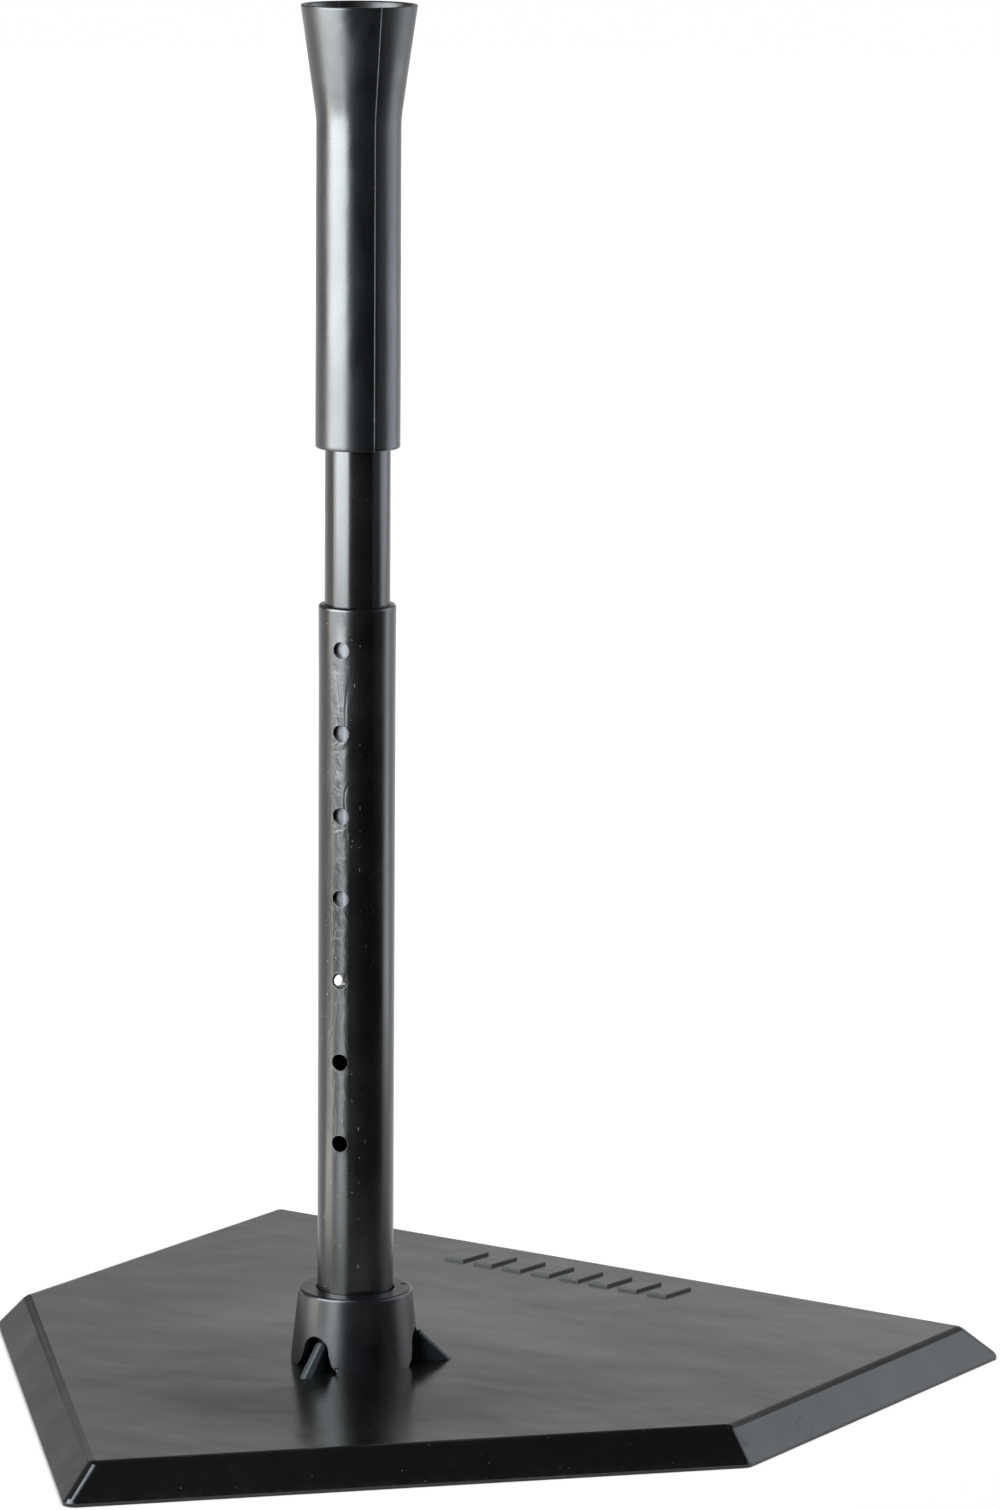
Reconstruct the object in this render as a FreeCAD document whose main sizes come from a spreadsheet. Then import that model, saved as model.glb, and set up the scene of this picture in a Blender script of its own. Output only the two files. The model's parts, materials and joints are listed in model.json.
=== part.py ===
"""Batting tee: a bevelled rubber home plate, a two-tube post that telescopes on a snap button,
and a rubber sleeve on top that flares into a cup for the ball.

Row frame: millimetres, +Z up, origin at the middle of the plate's footprint on the floor. The plate's
long straight edge faces +Y and its point faces -Y. The post stands a little off the origin, along -Y.
"""

import FreeCAD, Part
import os
import Sketcher

# Driving sizes in millimetres and degrees. Every feature below is bound to these cells.
SIZES = {
    # rubber plate
    "plate_width": 431.8,
    "plate_side": 231.8,
    "plate_depth": 461.4,
    "plate_height": 16.7,
    "plate_lip": 1.6,
    "bevel_inset": 13.5,
    "plate_corner_round": 6.0,
    "plate_edge_round": 5.0,
    "post_from_back": 235.6,
    # the plate's top swells a little to a flat land round the post
    "crown_rise": 2.15,
    "crown_land_radius": 48.0,
    "crown_reach": 136.0,
    # a row of bars moulded on the plate, and grip grooves under it
    "bar_width": 11.0,
    "bar_length": 20.0,
    "bar_slant": 2.0,
    "bar_pitch": 17.1,
    "bar_rise": 1.2,
    "bar_edge_gap": 31.5,
    "bar_shift": -5.5,
    "bar_count": 8,
    "groove_width": 5.0,
    "groove_depth": 1.6,
    "groove_start": 26.0,
    "groove_pitch": 17.0,
    "groove_count": 3,
    # rigid insert that holds the post, with three gussets
    "flange_radius": 56.0,
    "flange_bottom": 1.5,
    "flange_top": 6.5,
    "socket_radius": 21.0,
    "socket_bore_radius": 17.9,
    "socket_top": 46.0,
    "bolt_well_radius": 13.0,
    "bolt_well_top": 8.0,
    "socket_seat": 12.0,
    "rib_angle": -87.9,
    "rib_count": 3,
    "rib_thickness": 5.6,
    "rib_reach": 45.3,
    "rib_crest": 32.6,
    "rib_slope": 0.95,
    "rib_round": 2.6,
    # tapered collar over the insert
    "collar_top": 53.3,
    "collar_top_radius": 26.6,
    "collar_foot_radius": 30.3,
    "collar_wall": 2.6,
    "collar_roof": 3.2,
    "collar_hole_radius": 18.5,
    "collar_round": 1.6,
    "collar_turn": -7.0,
    "arch_width": 14.8,
    "arch_crest": 34.6,
    "arch_spread": 2.0,
    "arch_chamfer": 3.0,
    # three screws from below into bosses of the collar
    "screw_circle": 24.4,
    "screw_turn": 60.0,
    "boss_radius": 3.2,
    "boss_top": 38.0,
    "screw_radius": 2.0,
    "pilot_radius": 1.7,
    "screw_passage_radius": 2.3,
    "screw_head_radius": 3.9,
    "screw_head_bottom": 1.8,
    "screw_head_top": 4.2,
    "screw_well_radius": 4.4,
    "screw_tip": 28.0,
    "pilot_top": 31.0,
    "screw_slot_width": 1.2,
    "screw_slot_depth": 1.3,
    "screw_slot_length": 5.0,
    # lower tube
    "lower_radius": 17.8,
    "lower_bore_radius": 15.28,
    "lower_top": 378.1,
    "lower_round": 1.7,
    "mouth_swell": 0.2,
    "mouth_swell_length": 34.0,
    "height_hole_radius": 3.95,
    "lowest_hole": 125.7,
    "hole_pitch": 38.8,
    "hole_count": 7,
    "button_angle": -80.3,
    # plug, nut, bolt and washer in the foot of the post
    "plug_radius": 15.2,
    "plug_top": 40.0,
    "plug_bore_radius": 4.3,
    "nut_across_flats": 13.0,
    "nut_pocket_gap": 0.1,
    "nut_bottom": 33.2,
    "nut_height": 6.6,
    "bolt_radius": 3.95,
    "nut_bore_radius": 4.0,
    "bolt_tip": 43.0,
    "bolt_head_bottom": 1.1,
    "bolt_head_top": 6.4,
    "washer_radius": 11.0,
    "washer_bore_radius": 4.2,
    # upper tube
    "upper_radius": 15.2,
    "upper_bore_radius": 13.4,
    "upper_bottom": 174.0,
    "upper_top": 598.2,
    "upper_edge": 0.5,
    # snap button and its leaf spring, at the fifth hole from the top
    "button_radius": 3.45,
    "button_hole_radius": 3.53,
    "button_tip": 19.2,
    "button_shoulder": 17.0,
    "button_flange_radius": 4.5,
    "button_flange_out": 12.4,
    "rivet_radius": 1.5,
    "rivet_hole_radius": 1.55,
    "rivet_head_radius": 2.3,
    "rivet_head_in": 9.4,
    "leaf_thickness": 0.8,
    "leaf_width": 8.0,
    "leaf_front": 11.0,
    "leaf_back": 12.7,
    "leaf_bottom": 191.6,
    "leaf_bend": 229.6,
    # rubber sleeve with the ball cup
    "sleeve_bottom": 450.6,
    "sleeve_radius": 19.4,
    "sleeve_foot_radius": 19.6,
    "sleeve_bore_radius": 15.22,
    "sleeve_foot_bore_radius": 18.35,
    "sleeve_foot_depth": 7.0,
    "sleeve_foot_round": 1.1,
    "flare_bottom": 601.7,
    "cup_rim": 653.4,
    "cup_rim_radius": 26.7,
    "cup_mouth_radius": 24.85,
    "cup_throat_radius": 13.2,
    "cup_throat_top": 602.0,
    "cup_rim_round": 0.7,
}

# Places that follow from the sizes. An @ marks a cell of the sheet.
SLANT = "((@plate_depth - @plate_side) / (@plate_width / 2))"
SLANT_STRETCH = f"sqrt(1 + {SLANT}^2)"
# rounding the point's corner shortens the footprint, and the origin stays at its middle
POINT_LOSS = f"@plate_corner_round * ({SLANT_STRETCH} - 1)"
PLATE_BACK = f"((@plate_depth - {POINT_LOSS}) / 2)"
POST_PLACE = f"({PLATE_BACK} - @post_from_back)"
# the button rests in the third hole from the foot
BUTTON_HEIGHT = "@lowest_hole + 2 * @hole_pitch"
# the level on which the collar and the gussets stand
LAND = "(@plate_height + @crown_rise)"
FULL_TURN = 360.0
# how far a cut runs on past the wall that it goes through
OVERSHOOT = 5.0

doc = FreeCAD.newDocument("batting_tee")


def make_sheet():
    """Writes the driving sizes into a spreadsheet, one aliased cell to a row."""
    sheet = doc.addObject("Spreadsheet::Sheet", "sizes")
    for row, (alias, size) in enumerate(SIZES.items(), 1):
        sheet.set(f"A{row}", alias)
        sheet.set(f"B{row}", str(size))
        sheet.setAlias(f"B{row}", alias)
    doc.recompute()
    return sheet


sizes = make_sheet()


def cells(expression):
    """Turns words such as '@plate_width / 2' into an expression on the sheet's cells."""
    for alias in sorted(SIZES, key=len, reverse=True):
        expression = expression.replace(f"@{alias}", f"sizes.{alias}")
    return expression


def bind(target, prop, expression):
    """Binds one property of an object to the sheet."""
    target.setExpression(prop, cells(expression))


def worth(expression):
    """The present value of an expression, as a plain number."""
    result = sizes.evalExpression(cells(expression))
    return float(getattr(result, "Value", result))


def new_body(name, turn="0", on_post=True):
    """Starts a sub-part. On the post its own Z axis is the post's axis, turned by the given angle."""
    body = doc.addObject("PartDesign::Body", name)
    body.Label = name
    offset = POST_PLACE if on_post else "0"
    place = f"create(<<vector>>; 0; {offset}; 0)"
    about_z = f"create(<<rotation>>; create(<<vector>>; 0; 0; 1); {turn})"
    bind(body, "Placement", f"create(<<placement>>; {place}; {about_z})")
    return body


def new_sketch(body, name, plane="XY_Plane", height=None, along=None, turned=None):
    """A sketch on one of the body's own origin planes, raised off it, moved along its vertical or turned."""
    sketch = body.newObject("Sketcher::SketchObject", name)
    support = next(item for item in body.Origin.OriginFeatures if item.Role == plane)
    sketch.AttachmentSupport = [(support, "")]
    sketch.MapMode = "FlatFace"
    if height:
        bind(sketch, "AttachmentOffset.Base.z", height)
    if along:
        bind(sketch, "AttachmentOffset.Base.y", along)
    if turned:
        bind(sketch, "AttachmentOffset.Rotation.Angle", turned)
    return sketch


def fix_point(sketch, geometry, end, across, up):
    """Holds one point of a sketch at a distance across and a distance up from the sketch's origin."""
    for kind, expression in (("DistanceX", across), ("DistanceY", up)):
        index = sketch.addConstraint(Sketcher.Constraint(kind, -1, 1, geometry, end, worth(expression)))
        bind(sketch, f"Constraints[{index}]", expression)


def draw_outline(sketch, corners, arcs=None):
    """A closed outline whose corners are pairs of expressions.

    A side is straight unless arcs names its number. There it gives a point that the arc passes
    through and the axis and expression that hold its centre, as (across, up, kind, centre).
    """
    arcs = arcs or {}
    points = [FreeCAD.Vector(worth(across), worth(up), 0) for across, up in corners]
    count = len(points)
    first = sketch.GeometryCount
    ends = []
    for place in range(count):
        side = points[place], points[(place + 1) % count]
        ends.append(draw_side(sketch, side, arcs.get(place)))
    for place in range(count):
        following = (place + 1) % count
        finish_point, start_point = ends[place][1], ends[following][0]
        sketch.addConstraint(Sketcher.Constraint(
            "Coincident", first + place, finish_point, first + following, start_point))
        fix_point(sketch, first + place, ends[place][0], *corners[place])
    for place, (_, _, kind, centre) in arcs.items():
        index = sketch.addConstraint(Sketcher.Constraint(kind, -1, 1, first + place, 3, worth(centre)))
        bind(sketch, f"Constraints[{index}]", centre)


def draw_side(sketch, side, arc):
    """One side of an outline. Returns which of its own points are its start and its finish."""
    start, finish_point = side
    if not arc:
        sketch.addGeometry(Part.LineSegment(start, finish_point))
        return 1, 2
    through = FreeCAD.Vector(worth(arc[0]), worth(arc[1]), 0)
    # a sketch's arcs run anticlockwise, so one that bends to the right is drawn from its finish
    if (through - start).cross(finish_point - through).z > 0:
        sketch.addGeometry(Part.Arc(start, through, finish_point))
        return 1, 2
    sketch.addGeometry(Part.Arc(finish_point, through, start))
    return 2, 1


def draw_circle(sketch, radius, across="0", up="0"):
    """A full circle whose centre and radius are expressions."""
    centre = FreeCAD.Vector(worth(across), worth(up), 0)
    circle = sketch.addGeometry(Part.Circle(centre, FreeCAD.Vector(0, 0, 1), worth(radius)))
    fix_point(sketch, circle, 3, across, up)
    index = sketch.addConstraint(Sketcher.Constraint("Radius", circle, worth(radius)))
    bind(sketch, f"Constraints[{index}]", radius)


def pad(body, name, sketch, length, midplane=False, taper=None):
    """Raises a sketch into a solid."""
    feature = body.newObject("PartDesign::Pad", name)
    feature.Profile = sketch
    feature.Midplane = midplane
    bind(feature, "Length", length)
    if taper:
        bind(feature, "TaperAngle", taper)
    return finish(feature)


def pocket(body, name, sketch, length, along_normal=False):
    """Cuts a sketch's area out of the solid, against the sketch's normal unless told otherwise."""
    before = body.Shape.Volume
    feature = body.newObject("PartDesign::Pocket", name)
    feature.Profile = sketch
    feature.Reversed = along_normal
    bind(feature, "Length", length)
    finish(feature)
    if feature.Shape.Volume >= before:
        raise RuntimeError(f"{body.Label}: {name} cuts nothing")
    return feature


def revolve(body, name, corners, arcs=None, height=None):
    """Turns an outline, given as radius and height, about the Z axis or, with a height, one beside it."""
    sketch = new_sketch(body, f"{name}_outline", "XZ_Plane", height=height)
    draw_outline(sketch, corners, arcs)
    return turn(body, name, sketch, "V_Axis")


def turn(body, name, sketch, axis):
    """Turns a sketch all the way round one of its own axes."""
    feature = body.newObject("PartDesign::Revolution", name)
    feature.Profile = sketch
    feature.ReferenceAxis = (sketch, [axis])
    feature.Angle = FULL_TURN
    return finish(feature)


def repeat_around(body, name, features, sketch, count="@rib_count"):
    """Repeats features at even angles about the normal through a sketch's origin."""
    feature = body.newObject("PartDesign::PolarPattern", name)
    feature.Originals = features
    feature.Axis = (sketch, ["N_Axis"])
    feature.Angle = FULL_TURN
    bind(feature, "Occurrences", count)
    body.Tip = feature
    return finish(feature)


def edges_where(feature, test):
    """The names of a feature's edges that pass a test."""
    return [f"Edge{number}" for number, edge in enumerate(feature.Shape.Edges, 1) if test(edge)]


def round_edges(body, name, base, radius, test):
    """Fillets the edges that pass a test."""
    return dress(body, "PartDesign::Fillet", "Radius", name, base, radius, test)


def bevel_edges(body, name, base, size, test):
    """Chamfers the edges that pass a test."""
    return dress(body, "PartDesign::Chamfer", "Size", name, base, size, test)


def dress(body, kind, prop, name, base, size, test):
    """Puts a fillet or chamfer on the edges that pass a test."""
    feature = body.newObject(kind, name)
    feature.Base = (base, edges_where(base, test))
    bind(feature, prop, size)
    return finish(feature)


def finish(feature):
    """Recomputes and stops at a feature that failed."""
    doc.recompute()
    if feature.Shape.isNull() or not feature.isValid():
        raise RuntimeError(f"{feature.Label} failed: {feature.getStatusString()}")
    return feature


def near(number, expression):
    """True where a measured number equals an expression."""
    return abs(number - worth(expression)) < 0.01


def is_ring(edge, height, radius):
    """True for a full circle about the Z axis at a height."""
    if not isinstance(edge.Curve, Part.Circle):
        return False
    return near(edge.Curve.Center.z, height) and near(edge.Curve.Radius, radius)


def home_plate(inset):
    """The home plate's five corners, moved in by an equal distance from every side."""
    half = f"@plate_width / 2 - {inset}"
    back = f"{PLATE_BACK} - {inset}"
    # where the slanted side, moved in square to itself, meets the moved side and the centre line
    tip = f"{PLATE_BACK} - @plate_depth + {inset} * {SLANT_STRETCH}"
    shoulder = f"{tip} + ({half}) * {SLANT}"
    return [(half, back), (f"-({half})", back), (f"-({half})", shoulder), ("0", tip), (half, shoulder)]


def make_base():
    """Rubber home plate: lip, bevel, raised bars, grip grooves and the seats for the insert."""
    body = new_body("base", on_post=False)
    footprint = new_sketch(body, "footprint")
    draw_outline(footprint, home_plate("0"))
    pad(body, "lip", footprint, "@plate_lip")
    bevel_outline = new_sketch(body, "bevel_outline", height="@plate_lip")
    draw_outline(bevel_outline, home_plate("0"))
    taper = "-atan(@bevel_inset / (@plate_height - @plate_lip))"
    bevel = pad(body, "bevel", bevel_outline, "@plate_height - @plate_lip", taper=taper)

    def is_corner(edge):
        ends = [vertex.Point.z for vertex in edge.Vertexes]
        return abs(ends[0] - ends[-1]) > 1.0

    corners = round_edges(body, "corner_rounds", bevel, "@plate_corner_round", is_corner)

    def is_top(edge):
        return near(edge.BoundBox.ZMin, "@plate_height")

    round_edges(body, "top_rounds", corners, "@plate_edge_round", is_top)
    add_crown(body)
    add_bars(body)
    cut_grooves(body)
    cut_insert_seats(body)
    return body


def add_crown(body):
    """The low swell round the post: a flat land whose sides fall away in two equal and opposite arcs."""
    run = "((@crown_reach - @crown_land_radius) / 2)"
    fall = "(@crown_rise / 2)"
    radius = f"(({run}^2 + {fall}^2) / (2 * {fall}))"
    # how far an arc is from its level end, halfway along its run
    dip = f"({radius} - sqrt({radius}^2 - {run}^2 / 4))"
    buried = "@plate_height - @plate_edge_round"
    revolve(body, "crown", [
        ("0", buried),
        ("@crown_reach", buried),
        ("@crown_reach", "@plate_height"),
        (f"@crown_reach - {run}", f"@plate_height + {fall}"),
        ("@crown_land_radius", LAND),
        ("0", LAND),
    ], arcs={
        2: (f"@crown_reach - {run} / 2", f"@plate_height + {dip}", "DistanceX", "@crown_reach"),
        3: (f"@crown_land_radius + {run} / 2", f"{LAND} - {dip}", "DistanceX", "@crown_land_radius"),
    }, height=f"-{POST_PLACE}")


def add_bars(body):
    """A plain row of bars, raised near the plate's long edge and leaning a little."""
    sketch = new_sketch(body, "bars_outline", height="@plate_height - @bar_rise")
    lower = f"{PLATE_BACK} - @bar_edge_gap - @bar_length"
    upper = f"{PLATE_BACK} - @bar_edge_gap"
    for place in range(round(worth("@bar_count"))):
        left = f"({place} - @bar_count / 2) * @bar_pitch + @bar_shift"
        draw_outline(sketch, [
            (left, lower),
            (f"{left} + @bar_width", lower),
            (f"{left} + @bar_width + @bar_slant", upper),
            (f"{left} + @bar_slant", upper),
        ])
    bars = pad(body, "bars", sketch, "2 * @bar_rise")

    def is_bar_top(edge):
        return near(edge.BoundBox.ZMin, "@plate_height + @bar_rise")

    round_edges(body, "bar_rounds", bars, "@bar_rise / 3", is_bar_top)


def cut_grooves(body):
    """Three grip grooves under the plate that run parallel to its outline."""
    sketch = new_sketch(body, "grooves_outline")
    for place in range(round(worth("@groove_count"))):
        inset = f"(@groove_start + {place} * @groove_pitch)"
        draw_outline(sketch, home_plate(inset))
        draw_outline(sketch, home_plate(f"({inset} + @groove_width)"))
    pocket(body, "grooves", sketch, "@groove_depth", along_normal=True)


def cut_insert_seats(body):
    """The seat, bore, gusset slots and screw passages that the rigid insert fills."""
    seat = new_sketch(body, "flange_seat_outline", along=POST_PLACE)
    draw_circle(seat, "@flange_radius")
    pocket(body, "flange_seat", seat, "@flange_top", along_normal=True)
    bore = new_sketch(body, "socket_bore_outline", along=POST_PLACE)
    draw_circle(bore, "@socket_radius")
    pocket(body, "socket_bore", bore, LAND, along_normal=True)
    slot = new_sketch(body, "rib_slot_outline", along=POST_PLACE, turned="@rib_angle")
    side = "@rib_thickness / 2"
    draw_outline(slot, [("0", side), ("0", f"-{side}"), ("@rib_reach", f"-{side}"), ("@rib_reach", side)])
    rib_slot = pocket(body, "rib_slot", slot, LAND, along_normal=True)
    passage = new_sketch(body, "screw_passage_outline", along=POST_PLACE, turned="@rib_angle")
    draw_circle(passage, "@screw_passage_radius", *on_screw_circle())
    screw_passage = pocket(body, "screw_passage", passage, LAND, along_normal=True)
    repeat_around(body, "slots_and_passages", [rib_slot, screw_passage], passage)


def make_post_socket():
    """Rigid insert: flange in the plate, cup that holds the post, and three gussets."""
    body = new_body("post_socket", turn="@rib_angle")
    revolve(body, "cup", [
        ("@bolt_well_radius", "@flange_bottom"),
        ("@flange_radius", "@flange_bottom"),
        ("@flange_radius", "@flange_top"),
        ("@socket_radius", "@flange_top"),
        ("@socket_radius", "@socket_top"),
        ("@socket_bore_radius", "@socket_top"),
        ("@socket_bore_radius", "@socket_seat"),
        ("@plug_bore_radius", "@socket_seat"),
        ("@plug_bore_radius", "@bolt_well_top"),
        ("@bolt_well_radius", "@bolt_well_top"),
    ])
    outline = new_sketch(body, "rib_outline", "XZ_Plane")
    inside = "(@socket_radius + @socket_bore_radius) / 2"
    draw_outline(outline, [
        (inside, "@flange_top"),
        ("@rib_reach", "@flange_top"),
        ("@rib_reach", LAND),
        (f"@rib_reach - (@rib_crest - {LAND}) / @rib_slope", "@rib_crest"),
        (inside, "@rib_crest"),
    ])
    rib = pad(body, "rib", outline, "@rib_thickness", midplane=True)

    def is_crest(edge):
        box = edge.BoundBox
        on_side = abs(abs(box.YMin) - worth("@rib_thickness / 2")) < 0.01 and box.YLength < 0.01
        return on_side and box.ZMax > worth(LAND) + 1.0 and box.XLength > 1.0

    crest = round_edges(body, "rib_rounds", rib, "@rib_round", is_crest)
    circle = new_sketch(body, "rib_circle")
    repeat_around(body, "ribs", [rib, crest], circle)
    well_outline = new_sketch(body, "screw_well_outline")
    draw_circle(well_outline, "@screw_well_radius", *on_screw_circle())
    well = pocket(body, "screw_well", well_outline, "@screw_head_top", along_normal=True)
    passage_outline = new_sketch(body, "screw_passage_outline")
    draw_circle(passage_outline, "@screw_passage_radius", *on_screw_circle())
    passage = pocket(body, "screw_passage", passage_outline, "@flange_top + 0.01", along_normal=True)
    repeat_around(body, "screw_holes", [well, passage], circle)
    return body


def on_screw_circle(turned="0"):
    """The first screw's place, between two gussets, as seen by a piece turned from them by an angle."""
    angle = f"(@screw_turn - ({turned}))"
    return f"@screw_circle * cos({angle})", f"@screw_circle * sin({angle})"


def make_collar():
    """Tapered cover with a flat roof round the post, bosses inside and an arch over each gusset."""
    body = new_body("collar", turn="@rib_angle + @collar_turn")
    roof = "@collar_top - @collar_roof"
    taper = f"(@collar_foot_radius - @collar_top_radius) / (@collar_top - {LAND})"
    inner_top = f"@collar_top_radius + @collar_roof * {taper} - @collar_wall"
    shell = revolve(body, "shell", [
        ("@collar_foot_radius", LAND),
        ("@collar_top_radius", "@collar_top"),
        ("@collar_hole_radius", "@collar_top"),
        ("@collar_hole_radius", roof),
        (inner_top, roof),
        ("@collar_foot_radius - @collar_wall", LAND),
    ])
    round_edges(body, "rim_round", shell, "@collar_round",
                lambda edge: is_ring(edge, "@collar_top", "@collar_top_radius"))
    circle = new_sketch(body, "arch_circle")
    screw = on_screw_circle(turned="@collar_turn")
    boss_outline = new_sketch(body, "boss_outline", height=LAND)
    draw_circle(boss_outline, "@boss_radius", *screw)
    boss = pad(body, "boss", boss_outline, f"@boss_top - {LAND}")
    pilot_outline = new_sketch(body, "pilot_outline", height=LAND)
    draw_circle(pilot_outline, "@pilot_radius", *screw)
    pilot = pocket(body, "pilot", pilot_outline, f"@pilot_top - {LAND}", along_normal=True)
    repeat_around(body, "bosses", [boss, pilot], circle)
    arch = cut_arch(body)
    repeat_around(body, "arches", [arch], circle)
    return body


def cut_arch(body):
    """One arch: a half-round crest, legs that spread a little and bevelled feet."""
    sketch = new_sketch(body, "arch_outline", "YZ_Plane")
    half = "(@arch_width / 2)"
    leg = f"({half} + @arch_spread)"
    wide = f"({leg} + @arch_chamfer)"
    spring_line = f"(@arch_crest - {half})"
    chamfer_top = f"({LAND} + @arch_chamfer)"
    draw_outline(sketch, [
        (half, spring_line),
        (f"-{half}", spring_line),
        (f"-{leg}", chamfer_top),
        (f"-{wide}", LAND),
        (wide, LAND),
        (leg, chamfer_top),
    ], arcs={0: ("0", "@arch_crest", "DistanceY", spring_line)})
    return pocket(body, "arch", sketch, f"@collar_foot_radius + {OVERSHOOT}", along_normal=True)


def make_collar_screws():
    """Three slotted self-tapping screws, head down, that hold the collar to the insert."""
    body = new_body("collar_screws", turn="@rib_angle")
    head_outline = new_sketch(body, "head_outline", height="@screw_head_bottom")
    draw_circle(head_outline, "@screw_head_radius", *on_screw_circle())
    head = pad(body, "head", head_outline, "@screw_head_top - @screw_head_bottom")
    shank_outline = new_sketch(body, "shank_outline", height="@screw_head_top")
    draw_circle(shank_outline, "@screw_radius", *on_screw_circle())
    shank = pad(body, "shank", shank_outline, "@screw_tip - @screw_head_top")
    slot_outline = new_sketch(body, "slot_outline", height="@screw_head_bottom")
    across, up = on_screw_circle()
    half_length = "@screw_slot_length / 2"
    half_width = "@screw_slot_width / 2"
    draw_outline(slot_outline, [
        (f"{across} - {half_length}", f"{up} - {half_width}"),
        (f"{across} + {half_length}", f"{up} - {half_width}"),
        (f"{across} + {half_length}", f"{up} + {half_width}"),
        (f"{across} - {half_length}", f"{up} + {half_width}"),
    ])
    slot = pocket(body, "slot", slot_outline, "@screw_slot_depth", along_normal=True)
    circle = new_sketch(body, "screw_pattern_circle")
    repeat_around(body, "screws", [head, shank, slot], circle)
    return body


def make_lower_tube():
    """Fixed outer tube with a rounded, slightly swollen mouth and a line of height holes."""
    body = new_body("lower_tube", turn="@button_angle")
    wall = revolve(body, "wall", [
        ("@lower_radius", "@socket_seat"),
        ("@lower_radius", "@lower_top - @mouth_swell_length"),
        ("@lower_radius + @mouth_swell", "@lower_top"),
        ("@lower_bore_radius", "@lower_top"),
        ("@lower_bore_radius", "@socket_seat"),
    ])
    round_edges(body, "mouth_round", wall, "@lower_round",
                lambda edge: is_ring(edge, "@lower_top", "@lower_radius + @mouth_swell"))
    outline = new_sketch(body, "lowest_hole_outline", "YZ_Plane")
    draw_circle(outline, "@height_hole_radius", up="@lowest_hole")
    hole = pocket(body, "lowest_hole", outline, f"@lower_radius + {OVERSHOOT}", along_normal=True)
    row = body.newObject("PartDesign::LinearPattern", "height_holes")
    row.Originals = [hole]
    row.Direction = (outline, ["V_Axis"])
    bind(row, "Length", "@hole_pitch * (@hole_count - 1)")
    bind(row, "Occurrences", "@hole_count")
    body.Tip = row
    finish(row)
    return body


def draw_hexagon(sketch, across_flats):
    """A regular hexagon about the sketch's origin with two corners on its X axis."""
    corner = f"(({across_flats}) / sqrt(3))"
    half_flat = f"(({across_flats}) / 2)"
    draw_outline(sketch, [
        (corner, "0"),
        (f"{corner} / 2", half_flat),
        (f"-{corner} / 2", half_flat),
        (f"-{corner}", "0"),
        (f"-{corner} / 2", f"-{half_flat}"),
        (f"{corner} / 2", f"-{half_flat}"),
    ])


def make_tube_plug():
    """Plug bonded in the lower tube's foot, with a pocket for the captive nut."""
    body = new_body("tube_plug")
    revolve(body, "plug", [
        ("@plug_bore_radius", "@socket_seat"),
        ("@plug_radius", "@socket_seat"),
        ("@plug_radius", "@plug_top"),
        ("@plug_bore_radius", "@plug_top"),
    ])
    outline = new_sketch(body, "nut_pocket_outline", height="@plug_top")
    draw_hexagon(outline, "@nut_across_flats + 2 * @nut_pocket_gap")
    pocket(body, "nut_pocket", outline, "@plug_top - @nut_bottom")
    return body


def make_captive_nut():
    """Plain hexagon nut."""
    body = new_body("captive_nut")
    outline = new_sketch(body, "nut_outline", height="@nut_bottom")
    draw_hexagon(outline, "@nut_across_flats")
    draw_circle(outline, "@nut_bore_radius")
    pad(body, "nut", outline, "@nut_height")
    return body


def make_base_bolt():
    """Hexagon-head bolt up through the insert into the nut."""
    body = new_body("base_bolt")
    head_outline = new_sketch(body, "head_outline", height="@bolt_head_bottom")
    draw_hexagon(head_outline, "@nut_across_flats")
    pad(body, "head", head_outline, "@bolt_head_top - @bolt_head_bottom")
    shank_outline = new_sketch(body, "shank_outline", height="@bolt_head_top")
    draw_circle(shank_outline, "@bolt_radius")
    shank = pad(body, "shank", shank_outline, "@bolt_tip - @bolt_head_top")
    bevel_edges(body, "tip_bevel", shank, "@bolt_radius / 6",
                lambda edge: is_ring(edge, "@bolt_tip", "@bolt_radius"))
    return body


def make_base_washer():
    """Wide washer between the bolt's head and the insert's floor."""
    body = new_body("base_washer")
    revolve(body, "washer", [
        ("@washer_bore_radius", "@bolt_head_top"),
        ("@washer_radius", "@bolt_head_top"),
        ("@washer_radius", "@bolt_well_top"),
        ("@washer_bore_radius", "@bolt_well_top"),
    ])
    return body


def make_upper_tube():
    """Telescoping tube with one hole for the button."""
    body = new_body("upper_tube", turn="@button_angle")
    wall = revolve(body, "wall", [
        ("@upper_bore_radius", "@upper_bottom"),
        ("@upper_radius", "@upper_bottom"),
        ("@upper_radius", "@upper_top"),
        ("@upper_bore_radius", "@upper_top"),
    ])
    bevel_edges(body, "foot_bevel", wall, "@upper_edge",
                lambda edge: is_ring(edge, "@upper_bottom", "@upper_radius"))
    outline = new_sketch(body, "button_hole_outline", "YZ_Plane")
    draw_circle(outline, "@button_hole_radius", up=BUTTON_HEIGHT)
    pocket(body, "button_hole", outline, f"@upper_radius + {OVERSHOOT}", along_normal=True)
    return body


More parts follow.
